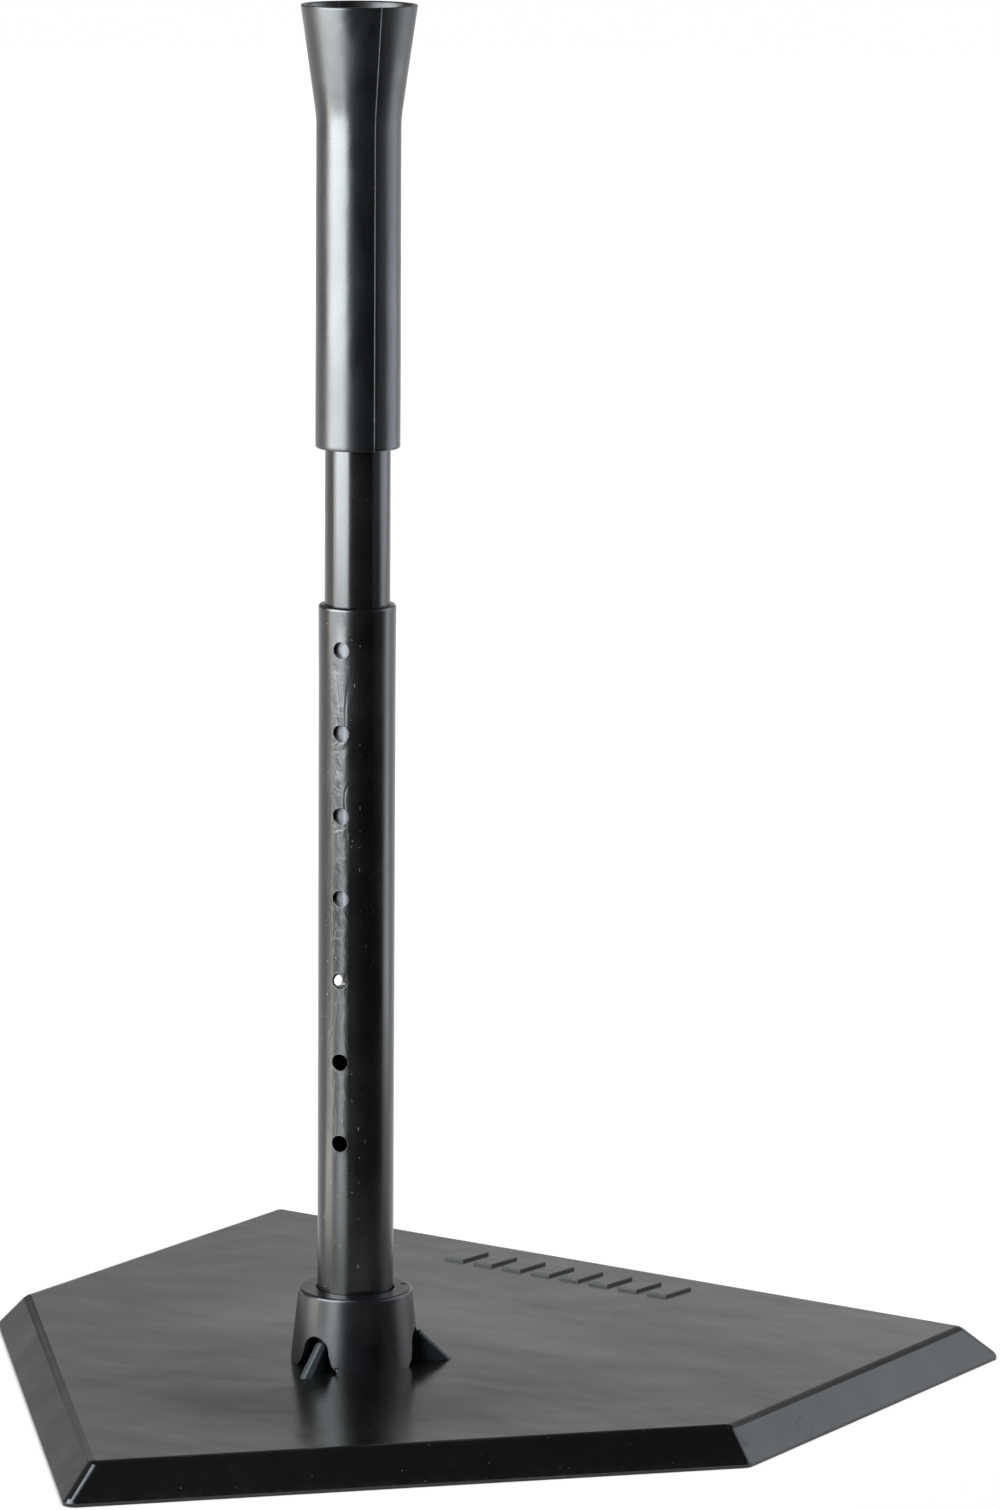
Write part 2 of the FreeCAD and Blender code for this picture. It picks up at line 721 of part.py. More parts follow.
def make_snap_button():
    """Domed button with a flange that stops on the tube's inner wall and a riveted tail."""
    body = new_body("snap_button", turn="@button_angle")
    sketch = new_sketch(body, "button_outline", "XZ_Plane", along=BUTTON_HEIGHT)
    rise = "(@button_tip - @button_shoulder)"
    dome_radius = f"((@button_radius^2 + {rise}^2) / (2 * {rise}))"
    centre = f"(@button_tip - {dome_radius})"
    # the dome's arc passes through the point at 45 degrees when its centre is near the shoulder
    through = f"{dome_radius} * sqrt(0.5)"
    leaf_inside = "@leaf_front - @leaf_thickness"
    draw_outline(sketch, [
        ("@rivet_head_in", "0"),
        ("@rivet_head_in", "@rivet_head_radius"),
        (leaf_inside, "@rivet_head_radius"),
        (leaf_inside, "@rivet_radius"),
        ("@leaf_front", "@rivet_radius"),
        ("@leaf_front", "@button_flange_radius"),
        ("@button_flange_out", "@button_flange_radius"),
        ("@button_flange_out", "@button_radius"),
        ("@button_shoulder", "@button_radius"),
        ("@button_tip", "0"),
    ], arcs={8: (f"{centre} + {through}", through, "DistanceY", "0")})
    turn(body, "button", sketch, "H_Axis")
    return body


def make_snap_spring():
    """Leaf spring bent to a narrow arch: one leg carries the button, the other bears on the tube."""
    body = new_body("snap_spring", turn="@button_angle")
    sketch = new_sketch(body, "leaf_outline", "XZ_Plane")
    middle = "((@leaf_front - @leaf_back) / 2)"
    outer_crown = "@leaf_bend + (@leaf_front + @leaf_back) / 2"
    inner_front = "(@leaf_front - @leaf_thickness)"
    inner_back = "(@leaf_thickness - @leaf_back)"
    draw_outline(sketch, [
        ("@leaf_front", "@leaf_bottom"),
        ("@leaf_front", "@leaf_bend"),
        ("-@leaf_back", "@leaf_bend"),
        ("-@leaf_back", "@leaf_bottom"),
        (inner_back, "@leaf_bottom"),
        (inner_back, "@leaf_bend"),
        (inner_front, "@leaf_bend"),
        (inner_front, "@leaf_bottom"),
    ], arcs={
        1: (middle, outer_crown, "DistanceY", "@leaf_bend"),
        5: (middle, f"{outer_crown} - @leaf_thickness", "DistanceY", "@leaf_bend"),
    })
    pad(body, "leaf", sketch, "@leaf_width", midplane=True)
    outline = new_sketch(body, "rivet_hole_outline", "YZ_Plane")
    draw_circle(outline, "@rivet_hole_radius", up=BUTTON_HEIGHT)
    pocket(body, "rivet_hole", outline, f"@leaf_front + {OVERSHOOT}", along_normal=True)
    return body


def make_ball_sleeve():
    """Rubber sleeve: stepped foot bore, long grip on the tube and a flared cup for the ball."""
    body = new_body("ball_sleeve")
    step = "@sleeve_bottom + @sleeve_foot_depth"
    wall = revolve(body, "wall", [
        ("@sleeve_foot_bore_radius", "@sleeve_bottom"),
        ("@sleeve_foot_radius", "@sleeve_bottom"),
        ("@sleeve_radius", "@flare_bottom"),
        ("@cup_rim_radius", "@cup_rim"),
        ("@cup_mouth_radius", "@cup_rim"),
        ("@cup_throat_radius", "@cup_throat_top"),
        ("@cup_throat_radius", "@upper_top"),
        ("@sleeve_bore_radius", "@upper_top"),
        ("@sleeve_bore_radius", step),
        ("@sleeve_foot_bore_radius", step),
    ])
    foot = round_edges(body, "foot_round", wall, "@sleeve_foot_round",
                       lambda edge: is_ring(edge, "@sleeve_bottom", "@sleeve_foot_radius"))
    round_edges(body, "rim_rounds", foot, "@cup_rim_round",
                lambda edge: is_ring(edge, "@cup_rim", "@cup_rim_radius")
                or is_ring(edge, "@cup_rim", "@cup_mouth_radius"))
    return body


def check_document():
    """Stops if any object of the document failed."""
    doc.recompute()
    failed = [item.Label for item in doc.Objects if "Invalid" in item.State or "Error" in item.State]
    if failed:
        raise RuntimeError(f"failed objects: {failed}")


def write_steps(parts):
    """Checks each sub-part's shape and writes it to its own file."""
    check_document()
    for part in parts:
        if part.Shape.isNull() or not part.Shape.isValid():
            raise RuntimeError(f"{part.Label} has no valid shape")
    os.makedirs("parts", exist_ok=True)
    for part in parts:
        part.Shape.exportStep(f"parts/{part.Label}.step")
        box = part.Shape.BoundBox
        print(f"{part.Label}: {len(part.Shape.Solids)} solids, {part.Shape.Volume / 1000:.2f} cm3, "
              f"z {box.ZMin:.2f} to {box.ZMax:.2f}")


write_steps([
    make_base(),
    make_post_socket(),
    make_collar(),
    make_collar_screws(),
    make_lower_tube(),
    make_tube_plug(),
    make_captive_nut(),
    make_base_bolt(),
    make_base_washer(),
    make_upper_tube(),
    make_snap_button(),
    make_snap_spring(),
    make_ball_sleeve(),
])
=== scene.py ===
"""The looks of the batting tee: a rubber home plate, a telescoping post and a rubber ball cup."""

import json
import math

import bmesh
import bpy
from mathutils import Matrix, Vector, noise

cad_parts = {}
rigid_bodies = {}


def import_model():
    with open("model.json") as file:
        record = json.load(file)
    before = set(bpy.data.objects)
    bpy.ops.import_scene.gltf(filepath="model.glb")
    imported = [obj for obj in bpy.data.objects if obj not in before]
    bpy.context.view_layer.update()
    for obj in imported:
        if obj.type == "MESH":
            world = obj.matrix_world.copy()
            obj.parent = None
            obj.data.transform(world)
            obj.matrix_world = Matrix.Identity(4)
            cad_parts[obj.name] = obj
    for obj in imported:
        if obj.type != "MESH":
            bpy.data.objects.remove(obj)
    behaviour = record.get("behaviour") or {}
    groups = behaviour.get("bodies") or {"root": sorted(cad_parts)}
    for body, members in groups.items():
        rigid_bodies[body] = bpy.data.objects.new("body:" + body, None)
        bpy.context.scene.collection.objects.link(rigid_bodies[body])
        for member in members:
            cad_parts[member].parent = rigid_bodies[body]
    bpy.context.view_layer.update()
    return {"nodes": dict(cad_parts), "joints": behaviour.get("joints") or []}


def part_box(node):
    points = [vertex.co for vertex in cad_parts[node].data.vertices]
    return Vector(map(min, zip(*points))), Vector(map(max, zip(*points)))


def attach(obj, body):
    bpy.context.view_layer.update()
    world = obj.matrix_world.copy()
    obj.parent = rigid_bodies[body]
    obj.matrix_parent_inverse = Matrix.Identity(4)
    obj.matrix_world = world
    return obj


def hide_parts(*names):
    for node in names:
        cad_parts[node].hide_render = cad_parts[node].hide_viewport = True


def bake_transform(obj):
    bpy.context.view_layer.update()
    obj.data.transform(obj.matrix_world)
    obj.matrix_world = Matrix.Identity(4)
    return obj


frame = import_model()
nodes = frame["nodes"]


# ---------------------------------------------------------------- places read from the frame

def middle_of(node):
    """Middle of a CAD node's box."""
    low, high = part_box(node)
    return (low + high) / 2


MM = 0.001
POST = middle_of("lower_tube")
POST_X, POST_Y = POST.x, POST.y
# the button slides in along its joint's axis, so the line of holes faces the other way
PRESS = Vector(next(joint["axis"] for joint in frame["joints"] if joint["name"] == "button_press"))
HOLE_SIDE = -PRESS.normalized()
HOLE_ACROSS = Vector((-HOLE_SIDE.y, HOLE_SIDE.x, 0))
HOLE_COUNT, HOLE_PITCH, HOLE_RADIUS = 7, 38.8 * MM, 3.95 * MM
BUTTON_Z = middle_of("snap_button").z
# the button rests in the third hole from the foot
LOWEST_HOLE = BUTTON_Z - 2 * HOLE_PITCH
LOWER_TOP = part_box("lower_tube")[1].z
LOWER_RADIUS = 17.8 * MM
# height where the sleeve's flare begins
FLARE_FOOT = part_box("ball_sleeve")[1].z - 51.7 * MM
# the sleeve's two-part mould leaves a fine line on both sides, in degrees from +X
SEAM_TURNS = (-32.6, 147.4)


# ---------------------------------------------------------------- node helpers for materials

class Nodes:
    """Short calls for building one material's node tree."""

    def __init__(self, name):
        self.material = bpy.data.materials.new(name)
        self.material.use_nodes = True
        self.tree = self.material.node_tree
        self.shader = self.tree.nodes["Principled BSDF"]

    def add(self, kind, inputs=None, **settings):
        """Adds a node, sets its properties and fills its inputs with values or links."""
        node = self.tree.nodes.new(kind)
        for name, value in settings.items():
            setattr(node, name, value)
        for socket, value in (inputs or {}).items():
            self.put(node.inputs[socket], value)
        return node

    def put(self, socket, value):
        """Links an output to a socket, or sets the socket's own value."""
        if isinstance(value, bpy.types.NodeSocket):
            self.tree.links.new(value, socket)
        else:
            socket.default_value = value

    def set(self, **inputs):
        """Sets or links the shader's inputs, named with underscores for spaces."""
        for name, value in inputs.items():
            self.put(self.shader.inputs[name.replace("_", " ")], value)

    def place(self, scale=(1, 1, 1), shift=(0, 0, 0)):
        """The object's own coordinates, scaled and shifted."""
        coordinates = self.add("ShaderNodeTexCoord").outputs["Object"]
        mapping = self.add("ShaderNodeMapping",
                           {"Vector": coordinates, "Scale": scale, "Location": shift})
        return mapping.outputs["Vector"]

    def height(self, where):
        """The upward part of a place."""
        return self.add("ShaderNodeSeparateXYZ", {"Vector": where}).outputs["Z"]

    def spot(self, centre, where=None):
        """Distance from a point."""
        node = self.add("ShaderNodeVectorMath", operation="DISTANCE")
        self.put(node.inputs[0], where or self.place())
        self.put(node.inputs[1], tuple(centre))
        return node.outputs["Value"]

    def along(self, direction, origin):
        """How far a point lies from an origin along a direction."""
        node = self.add("ShaderNodeVectorMath", operation="DOT_PRODUCT")
        self.put(node.inputs[0], self.place())
        self.put(node.inputs[1], tuple(direction))
        return self.math("SUBTRACT", node.outputs["Value"], Vector(direction).dot(Vector(origin)))

    def flecks(self, spacing, size, stretch=1.0, keep=0.5, seed=0.0):
        """Scattered specks, 1 inside them. stretch draws them out upwards, keep is their share."""
        where = self.place(scale=(1, 1, 1 / stretch), shift=(seed, seed * 0.7, seed * 0.3))
        node = self.add("ShaderNodeTexVoronoi", {"Vector": where, "Scale": 1 / spacing})
        colour = node.outputs["Color"]
        chance = self.add("ShaderNodeSeparateColor", {"Color": colour}).outputs["Red"]
        inside = self.span(node.outputs["Distance"], size / spacing, size / spacing * 0.6)
        return self.times(inside, self.math("LESS_THAN", chance, keep))

    def noise(self, scale, detail, rough, where, twist=0.0):
        """Noise from 0 to 1."""
        inputs = {"Scale": scale, "Detail": detail, "Roughness": rough, "Distortion": twist,
                  "Vector": where}
        return self.add("ShaderNodeTexNoise", inputs).outputs["Fac"]

    def math(self, operation, first, second=0.0):
        """One maths node."""
        node = self.add("ShaderNodeMath", operation=operation)
        for socket, value in zip(node.inputs, (first, second)):
            self.put(socket, value)
        return node.outputs[0]

    def plus(self, first, second):
        """The sum of two values."""
        return self.math("ADD", first, second)

    def times(self, first, second):
        """The product of two values."""
        return self.math("MULTIPLY", first, second)

    def most(self, first, second):
        """The greater of two values."""
        return self.math("MAXIMUM", first, second)

    def span(self, value, low, high, to_low=0.0, to_high=1.0, smooth=False):
        """Maps a value's range onto another, clamped."""
        kind = "SMOOTHSTEP" if smooth else "LINEAR"
        inputs = {"Value": value, "From Min": low, "From Max": high,
                  "To Min": to_low, "To Max": to_high}
        return self.add("ShaderNodeMapRange", inputs, interpolation_type=kind).outputs["Result"]

    def mix(self, factor, first, second):
        """Mixes two colours."""
        node = self.add("ShaderNodeMix", data_type="RGBA")
        self.put(node.inputs["Factor"], factor)
        for socket, value in zip((node.inputs[6], node.inputs[7]), (first, second)):
            self.put(socket, value if isinstance(value, bpy.types.NodeSocket) else (*value, 1.0))
        return node.outputs[2]

    def bump(self, height, strength, depth, under=None):
        """Turns a height into a normal, on top of another normal if one is given."""
        inputs = {"Height": height, "Strength": strength, "Distance": depth}
        if under is not None:
            inputs["Normal"] = under
        return self.add("ShaderNodeBump", inputs).outputs["Normal"]


# ---------------------------------------------------------------- materials

def plate_rubber():
    """Heavy moulded rubber: mottled flow marks, scuffs, a rubbed ring, dust and a worn lip."""
    n = Nodes("plate_rubber")
    deep, light = (0.0022, 0.0023, 0.0024), (0.0056, 0.0054, 0.005)
    scuffed, worn = (0.011, 0.0108, 0.0102), (0.016, 0.016, 0.0165)
    rubbed, dusty = (0.0015, 0.0016, 0.0018), (0.075, 0.08, 0.082)
    ring_middle, ring_radius = (0.2120, 0.0522, 0.0060), 4.6 * MM
    smudge_middle = (0.2091, 0.0040, 0.0092)
    where = n.place()
    flow = n.noise(16.0, 5.0, 0.62, n.place(scale=(1, 2.2, 1)), twist=0.6)
    clouds = n.noise(5.5, 3.0, 0.55, n.place(shift=(3, 1, 0)), twist=0.3)
    tone = n.plus(n.times(flow, 0.55), n.times(clouds, 0.45))
    tone = n.span(tone, 0.36, 0.64)
    grain = n.noise(1100.0, 2.0, 0.5, where)
    pebble = n.noise(260.0, 3.0, 0.55, where)
    # long faint scuffs in two directions
    drag = n.span(n.noise(70.0, 4.0, 0.7, n.place(scale=(0.12, 1, 1))), 0.6, 0.78)
    wipe = n.noise(55.0, 4.0, 0.7, n.place(scale=(1, 0.1, 1), shift=(5, 2, 0)))
    wipe = n.span(wipe, 0.62, 0.8)
    scuffs = n.times(n.most(drag, wipe), n.span(clouds, 0.42, 0.6))
    height = n.height(where)
    # rubber dust gathers along the lower lip
    lip = n.times(n.span(height, 4.5 * MM, 0.6 * MM), n.span(pebble, 0.42, 0.62))
    # something round has rubbed the bevel on the right
    ring = n.math("SUBTRACT", n.spot(ring_middle), ring_radius)
    ring = n.span(n.math("ABSOLUTE", ring), 0.55 * MM, 0.1 * MM)
    ring = n.times(ring, n.span(pebble, 0.4, 0.55))
    smudge = n.span(n.spot(smudge_middle), 4.0 * MM, 1.0 * MM)
    marks = n.most(ring, n.times(smudge, n.span(flow, 0.4, 0.6)))
    dust = n.most(n.flecks(4.6 * MM, 0.34 * MM, keep=0.5),
                  n.flecks(7 * MM, 0.5 * MM, keep=0.3, seed=4))
    dust = n.times(dust, n.span(clouds, 0.4, 0.55, 0.25, 1.0))
    colour = n.mix(tone, deep, light)
    colour = n.mix(n.times(scuffs, 0.6), colour, scuffed)
    colour = n.mix(n.times(lip, 0.5), colour, worn)
    colour = n.mix(marks, colour, rubbed)
    colour = n.mix(dust, colour, dusty)
    rough = n.span(tone, 0.0, 1.0, 0.235, 0.155)
    rough = n.plus(rough, n.times(scuffs, 0.05))
    rough = n.plus(rough, n.times(marks, 0.18))
    rough = n.plus(rough, n.times(dust, 0.3))
    n.set(Base_Color=colour, Roughness=rough, IOR=1.5)
    # the top isn't quite flat, so reflections waver
    soft = n.noise(15.0, 1.5, 0.5, n.place(scale=(1, 1.6, 1), shift=(8, 2, 0)), twist=0.5)
    waves = n.bump(clouds, 1.0, 1.6 * MM)
    waves = n.bump(soft, 1.0, 0.4 * MM, waves)
    waves = n.bump(flow, 1.0, 0.12 * MM, waves)
    waves = n.bump(pebble, 0.05, 0.2 * MM, waves)
    n.set(Normal=n.bump(grain, 0.05, 0.1 * MM, waves))
    return n.material


def socket_plastic():
    """Glass-filled plastic of the insert: a faint green-blue cast, flow haze and fine streaks."""
    n = Nodes("socket_plastic")
    deep, light = (0.012, 0.0165, 0.018), (0.02, 0.027, 0.029)
    haze = n.noise(120.0, 4.0, 0.6, n.place())
    streak = n.noise(240.0, 3.0, 0.6, n.place(scale=(1, 1, 0.2)))
    n.set(Base_Color=n.mix(n.span(haze, 0.35, 0.65), deep, light))
    n.set(Roughness=n.span(streak, 0.3, 0.7, 0.32, 0.44), IOR=1.5)
    n.set(Normal=n.bump(streak, 0.12, 0.15 * MM))
    return n.material


def collar_plastic():
    """Satin moulded cover: faint haze, hair scratches, a sink pit and a witness mark, both dented
    and darkened with painted shade.
    """
    n = Nodes("collar_plastic")
    deep, light = (0.0014, 0.0018, 0.0026), (0.0028, 0.0034, 0.0046)
    scratched, painted_dent_shade = (0.05, 0.055, 0.06), (0.0004, 0.0004, 0.0005)
    pit_middle = (0.0092, -0.0345, 0.0206)
    dash_x, dash_y, dash_z = 0.0161, 0.0098, 0.0533
    # the dash is drawn out sideways by squeezing the coordinates about its middle
    squeeze = 0.42
    shift = (dash_x * (1 - squeeze), dash_y * (1 - squeeze), 0)
    where = n.place()
    haze = n.noise(48.0, 4.0, 0.6, where, twist=0.3)
    grain = n.noise(1500.0, 2.0, 0.5, where)
    hairs = n.flecks(4.5 * MM, 0.16 * MM, stretch=7.0, keep=0.35)
    dust = n.flecks(5.0 * MM, 0.22 * MM, keep=0.3, seed=2)
    # the pit and the dash are dents, and the darker colour given to them is painted shade
    pit = n.span(n.spot(pit_middle), 1.0 * MM, 0.5 * MM)
    dash = n.spot((dash_x, dash_y, dash_z), n.place(scale=(squeeze, squeeze, 1), shift=shift))
    marks = n.most(pit, n.span(dash, 0.75 * MM, 0.45 * MM))
    colour = n.mix(n.span(haze, 0.35, 0.65), deep, light)
    colour = n.mix(n.times(n.most(hairs, dust), 0.7), colour, scratched)
    n.set(Base_Color=n.mix(marks, colour, painted_dent_shade))
    rough = n.span(haze, 0.3, 0.7, 0.27, 0.35)
    n.set(Roughness=n.plus(rough, n.times(marks, 0.3)), IOR=1.66)
    dents = n.bump(marks, 0.8, -0.5 * MM)
    soft = n.bump(haze, 0.12, 0.5 * MM, dents)
    n.set(Normal=n.bump(grain, 0.04, 0.08 * MM, soft))
    return n.material


def lower_tube_plastic():
    """Satin extruded tube: pulled wall beside the holes, draw lines, hair scratches and dust."""
    n = Nodes("lower_tube_plastic")
    deep, light = (0.0012, 0.0011, 0.0011), (0.0028, 0.0027, 0.0026)
    scratched = (0.13, 0.128, 0.122)
    where = n.place()
    haze = n.noise(36.0, 4.0, 0.6, where)
    draw = n.noise(420.0, 3.0, 0.55, n.place(scale=(1, 1, 0.012)))
    across = n.math("ABSOLUTE", n.along(HOLE_ACROSS, POST))
    facing = n.span(n.along(HOLE_SIDE, POST), 0.0, 6.0 * MM)
    strip = n.times(n.span(across, 7.5 * MM, 1.5 * MM, smooth=True), facing)
    ripple = n.noise(105.0, 3.0, 0.6, n.place(scale=(1, 1, 0.75)), twist=0.8)
    swell = n.noise(26.0, 2.0, 0.5, n.place(scale=(1, 1, 0.5), shift=(2, 0, 0)))
    hairs = n.most(n.flecks(2.2 * MM, 0.24 * MM, stretch=5.0, keep=0.3),
                   n.flecks(2.6 * MM, 0.26 * MM, stretch=2.0, keep=0.25, seed=3))
    dust = n.flecks(3.4 * MM, 0.34 * MM, keep=0.3, seed=6)
    # most of the scratches lie beside the line of holes
    near_line = n.times(n.span(across, 16.0 * MM, 6.0 * MM, 0.25, 1.0),
                        n.span(swell, 0.38, 0.6, 0.3, 1.0))
    lint = n.times(n.most(hairs, dust), near_line)
    # wavy folds where the wall was pulled in by the drill
    height = n.height(n.place())
    drill_foot = LOWEST_HOLE
    drill_top, drill_end = LOWEST_HOLE + 5.4 * HOLE_PITCH, LOWEST_HOLE + 6.1 * HOLE_PITCH
    drilled = n.times(n.span(height, drill_foot - 9 * MM, drill_foot, smooth=True),
                      n.span(height, drill_end, drill_top, smooth=True))
    folds = n.noise(120.0, 1.0, 0.5, n.place(scale=(1, 1, 0.22), shift=(0, 3, 5)), twist=0.4)
    folds = n.math("ABSOLUTE", n.math("SUBTRACT", folds, 0.5))
    folds = n.span(folds, 0.06, 0.0, smooth=True)
    folds = n.times(n.times(folds, drilled), n.times(strip, n.span(swell, 0.4, 0.55)))
    colour = n.mix(n.span(haze, 0.35, 0.65), deep, light)
    n.set(Base_Color=n.mix(n.times(lint, 0.8), colour, scratched))
    rough = n.span(haze, 0.3, 0.7, 0.225, 0.285)
    rough = n.plus(rough, n.times(n.times(strip, ripple), 0.07))
    n.set(Roughness=n.plus(rough, n.times(lint, 0.15)), IOR=1.5)
    normal = n.bump(swell, 0.5, 0.5 * MM)
    normal = n.bump(n.times(n.times(ripple, drilled), strip), 1.0, 0.42 * MM, normal)
    normal = n.bump(folds, 1.0, -0.1 * MM, normal)
    n.set(Normal=n.bump(draw, 0.1, 0.05 * MM, normal))
    return n.material


def upper_tube_plastic():
    """Glossier extruded tube, polished and finely scored by sliding in the lower one."""
    n = Nodes("upper_tube_plastic")
    deep, light = (0.0026, 0.002, 0.0019), (0.0044, 0.0036, 0.0034)
    scored, scrape_and_highlight = (0.07, 0.068, 0.065), (0.065, 0.069, 0.072)
    haze = n.noise(42.0, 3.0, 0.55, n.place(shift=(1, 4, 0)))
    draw = n.noise(520.0, 3.0, 0.6, n.place(scale=(1, 1, 0.008)))
    swell = n.noise(30.0, 2.0, 0.5, n.place(scale=(1, 1, 0.4), shift=(7, 0, 0)))
    scores = n.most(n.flecks(4.2 * MM, 0.22 * MM, stretch=16.0, keep=0.3, seed=1),
                    n.flecks(4.8 * MM, 0.3 * MM, keep=0.2, seed=5))
    scores = n.times(scores, n.span(swell, 0.42, 0.6, 0.15, 1.0))
    colour = n.mix(n.span(haze, 0.35, 0.65), deep, light)
    colour = n.mix(n.times(scores, 0.6), colour, scored)
    # below the lower tube's mouth, a pale track along the holes: partly scraping by the holes'
    # burrs, partly a painted highlight where the inner tube shows through the holes
    height = n.height(n.place())
    across = n.math("ABSOLUTE", n.along(HOLE_ACROSS, POST))
    scrape_and_highlight_track = n.times(n.span(across, 5.5 * MM, 3.5 * MM),
                    n.span(n.along(HOLE_SIDE, POST), 0.0, 4.0 * MM))
    scrape_and_highlight_track = n.times(scrape_and_highlight_track, n.span(height, LOWER_TOP - 4 * MM, LOWER_TOP - 12 * MM))
    scrape_and_highlight_track = n.times(scrape_and_highlight_track, n.span(draw, 0.35, 0.6, 0.55, 1.0))
    n.set(Base_Color=n.mix(scrape_and_highlight_track, colour, scrape_and_highlight))
    rough = n.span(haze, 0.3, 0.7, 0.185, 0.23)
    n.set(Roughness=n.plus(rough, n.times(scores, 0.15)), IOR=1.47)
    n.set(Normal=n.bump(draw, 0.16, 0.05 * MM, n.bump(swell, 0.5, 0.35 * MM)))
    return n.material


def sleeve_rubber():
    """Satin soft rubber: cloudy bloom, handling smears, dust and a pale line at the seam, partly
    mould flash and partly a painted highlight on the seam's ridge.
    """
    n = Nodes("sleeve_rubber")
    deep, light = (0.0014, 0.0017, 0.0021), (0.0042, 0.0047, 0.0055)
    dusty, seam_flash_and_highlight = (0.06, 0.063, 0.067), (0.06, 0.064, 0.068)
    where = n.place()
    bloom = n.noise(24.0, 4.0, 0.6, n.place(scale=(1, 1, 0.6)), twist=0.5)
    smear = n.noise(60.0, 4.0, 0.65, n.place(scale=(1, 1, 0.35), shift=(2, 6, 1)), twist=0.8)
    grain = n.noise(1300.0, 2.0, 0.5, where)
    # the pale seam line is partly mould flash and partly painted highlight, standing in for light
    # caught by the raised ridge
    turn = math.radians(SEAM_TURNS[0])
    seam = n.math("ABSOLUTE", n.along((-math.sin(turn), math.cos(turn), 0), POST))
    seam = n.times(n.span(seam, 0.42 * MM, 0.12 * MM), n.span(smear, 0.2, 0.5, 0.35, 1.0))
    dust = n.most(n.flecks(6.5 * MM, 0.34 * MM, keep=0.25),
                  n.flecks(11 * MM, 0.5 * MM, keep=0.2, seed=8))
    # handling polishes the flare in patches
    height = n.height(where)
    flare = n.span(height, FLARE_FOOT, FLARE_FOOT + 30.0 * MM, smooth=True)
    patch = n.noise(38.0, 2.5, 0.55, n.place(scale=(1, 1, 0.7), shift=(9, 2, 4)), twist=0.6)
    colour = n.mix(n.span(bloom, 0.35, 0.65), deep, light)
    colour = n.mix(n.times(dust, 0.7), colour, dusty)
    n.set(Base_Color=n.mix(n.times(seam, 0.8), colour, seam_flash_and_highlight))
    rough = n.plus(n.span(bloom, 0.3, 0.7, 0.235, 0.335), n.span(smear, 0.4, 0.7, 0.0, 0.05))
    rough = n.plus(rough, n.times(flare, n.span(patch, 0.4, 0.6, 0.0, 0.09)))
    n.set(Roughness=n.plus(rough, n.times(seam, 0.12)), IOR=1.5)
    normal = n.bump(bloom, 0.4, 0.6 * MM)
    normal = n.bump(smear, 0.25, 0.3 * MM, normal)
    normal = n.bump(n.times(flare, patch), 1.0, 0.3 * MM, normal)
    n.set(Normal=n.bump(grain, 0.05, 0.08 * MM, normal))
    return n.material


def plug_plastic():
    """Plain moulded plastic inside the post's foot."""
    n = Nodes("plug_plastic")
    deep, light = (0.012, 0.012, 0.012), (0.03, 0.03, 0.03)
    haze = n.noise(160.0, 4.0, 0.6, n.place())
    n.set(Base_Color=n.mix(haze, deep, light))
    n.set(Roughness=n.span(haze, 0.3, 0.7, 0.42, 0.58), IOR=1.5)
    n.set(Normal=n.bump(haze, 0.15, 0.2 * MM))
    return n.material


def steel(name, colour, roughness):
    """Plated or polished steel, a little uneven in tone and gloss."""
    n = Nodes(name)
    haze = n.noise(300.0, 3.0, 0.6, n.place())
    n.set(Base_Color=n.mix(haze, tuple(0.8 * part for part in colour), colour), Metallic=1.0)
    n.set(Roughness=n.span(haze, 0.3, 0.7, roughness * 0.7, roughness * 1.3))
    return n.material


def give(node, material):
    """Puts a material on a CAD node."""
    slots = nodes[node].data.materials
    slots.clear()
    slots.append(material)


def finish_cad_nodes():
    """Every CAD node that stays visible gets its material."""
    give("base", plate_rubber())
    give("post_socket", socket_plastic())
    give("collar", collar_plastic())
    give("lower_tube", lower_tube_plastic())
    give("upper_tube", upper_tube_plastic())
    give("tube_plug", plug_plastic())
    plated = steel("plated_steel", (0.62, 0.61, 0.58), 0.32)
    for node in ("collar_screws", "base_bolt", "base_washer", "captive_nut"):
        give(node, plated)
    give("snap_button", steel("button_chrome", (0.93, 0.95, 0.96), 0.3))


# ---------------------------------------------------------------- mesh pieces

# an edge that turns by more than this many degrees stays sharp
SHARP_TURN = 38


def new_piece(name, data, material):
    """Puts a mesh in the scene as a smooth piece with sharp edges where it turns a corner."""
    piece = bpy.data.objects.new(name, data)
    bpy.context.scene.collection.objects.link(piece)
    data.materials.clear()
    data.materials.append(material)
    for face in data.polygons:
        face.use_smooth = True
    data.set_sharp_from_angle(angle=math.radians(SHARP_TURN))
    return piece


def add_closed_rings(mesh, rows):
    """Adds rings of points, each joined to the next and the last to the first."""
    grid = [[mesh.verts.new(point) for point in row] for row in rows]
    for row, following in zip(grid, grid[1:] + grid[:1]):
        for place in range(len(row)):
            beside = (place + 1) % len(row)
            mesh.faces.new((row[place], row[beside], following[beside], following[place]))


def finished(mesh, name):
    """The mesh as data, with its faces turned outwards."""
    bmesh.ops.recalc_face_normals(mesh, faces=mesh.faces)
    data = bpy.data.meshes.new(name)
    mesh.to_mesh(data)
    mesh.free()
    return data


def rounded(corner, before, after, radius, steps=4):
    """Points of a quarter-like round that replaces an outline's corner."""
    corner, before, after = Vector(corner), Vector(before), Vector(after)
    start = corner + (before - corner).normalized() * radius
    end = corner + (after - corner).normalized() * radius
    points = []
    for step in range(steps + 1):
        share = step / steps
        left = 1 - share
        points.append(start * left ** 2 + corner * 2 * share * left + end * share ** 2)
    return points


